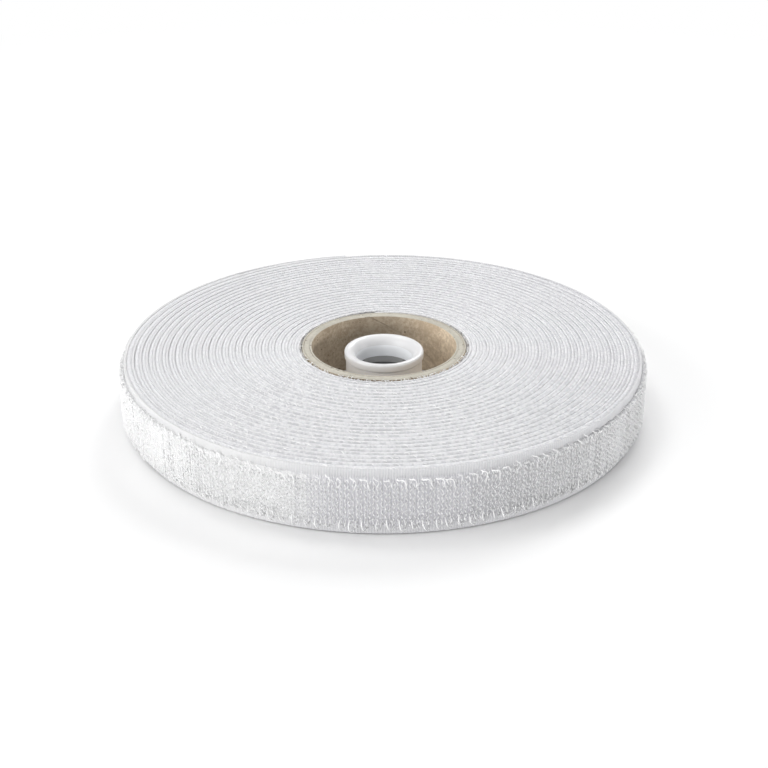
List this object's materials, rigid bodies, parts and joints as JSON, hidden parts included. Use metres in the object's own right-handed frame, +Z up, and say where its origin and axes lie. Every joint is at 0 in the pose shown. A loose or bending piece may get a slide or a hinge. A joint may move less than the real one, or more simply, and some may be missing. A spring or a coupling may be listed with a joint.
{
  "type": "hook and loop tape roll",
  "caption": "Roll of woven hook tape wound in a flat spiral on a paper core, with a plug and snap-in bushes for a spindle and a loose end that peels from the roll.",
  "frame": {"origin": "middle of the face that the roll lies on, on the axis of its core", "axes": "+Z up along the roll's axis, -Y towards the camera of the picture, +X to the picture's right"},
  "size_m": [0.167, 0.1667, 0.0204],
  "materials": {
    "woven_nylon": "white woven nylon, matte",
    "hook_yarn": "white nylon monofilament hooks, slightly shiny",
    "adhesive": "pale adhesive film",
    "kraft_paper": "brown kraft paper, matte",
    "grey_board": "grey board, cut edge",
    "white_plastic": "white moulded plastic, smooth"
  },
  "bodies": {
    "roll": {"tape_ground": "woven_nylon", "hook_pile": "hook_yarn", "starter_strip": "adhesive", "core_liner": "kraft_paper", "core_board": "grey_board", "core_wrap": "kraft_paper", "hub_plug": "white_plastic"},
    "upper_bush": {"upper_bush": "white_plastic"},
    "lower_bush": {"lower_bush": "white_plastic"},
    "tail": {"tape_tail": "woven_nylon", "tail_pile": "hook_yarn"}
  },
  "joints": [
    {"name": "upper_bush_spin", "type": "hinge", "parent": "roll", "child": "upper_bush", "pos_m": [0, 0, 0.0145], "axis": [0, 0, 1], "continuous": true},
    {"name": "lower_bush_spin", "type": "hinge", "parent": "roll", "child": "lower_bush", "pos_m": [0, 0, 0.0045], "axis": [0, 0, 1], "continuous": true},
    {"name": "tape_peel", "type": "hinge", "parent": "roll", "child": "tail", "pos_m": [-0.0525, 0.06325, 0.01], "axis": [0, 0, 1], "range_deg": [0, 80]}
  ]
}
